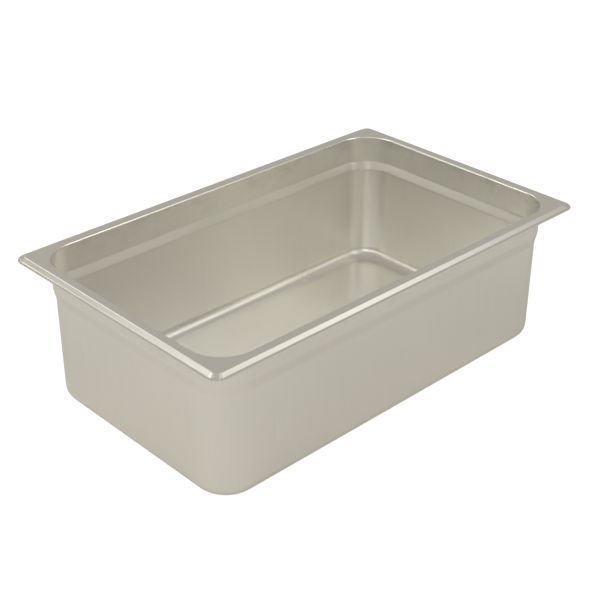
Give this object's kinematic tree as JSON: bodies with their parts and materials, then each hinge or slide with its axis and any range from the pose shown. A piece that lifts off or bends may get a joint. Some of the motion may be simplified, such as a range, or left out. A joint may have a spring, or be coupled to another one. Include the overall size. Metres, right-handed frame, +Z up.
{
  "type": "full-size food pan",
  "caption": "Deep rectangular stainless steel food pan, drawn in one piece, with a flat flanged rim, a turned-down lip, a stacking shoulder and rounded corners.",
  "frame": {"origin": "centre of the underside of the base", "axes": "+X along the long side, +Y along the short side, +Z up out of the opening"},
  "size_m": [0.53, 0.325, 0.167],
  "materials": {
    "satin_stainless": "satin rolled stainless sheet, smoother where it was bent"
  },
  "bodies": {
    "root": {"pan_body": "satin_stainless"}
  },
  "joints": []
}
